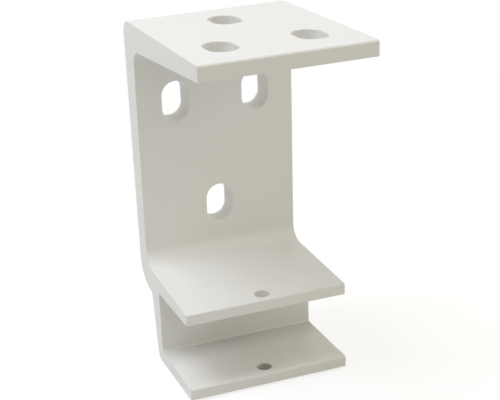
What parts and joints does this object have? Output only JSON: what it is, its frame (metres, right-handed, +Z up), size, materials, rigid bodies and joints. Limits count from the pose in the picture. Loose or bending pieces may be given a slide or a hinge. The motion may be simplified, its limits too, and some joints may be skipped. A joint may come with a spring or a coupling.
{
  "type": "awning bracket",
  "caption": "Extruded wall and ceiling bracket for an awning, with slotted top and back plates and a clamp channel for a 40 mm square tube.",
  "frame": {"origin": "on the wall face, at the middle of the width, midway between the two upper wall slots", "axes": "+Y into the wall, square to the wall face; +Z up; +X along the extrusion"},
  "size_m": [0.1, 0.13, 0.2123],
  "materials": {
    "powder_coat": "satin"
  },
  "bodies": {
    "root": {"bracket": "powder_coat"}
  },
  "joints": []
}
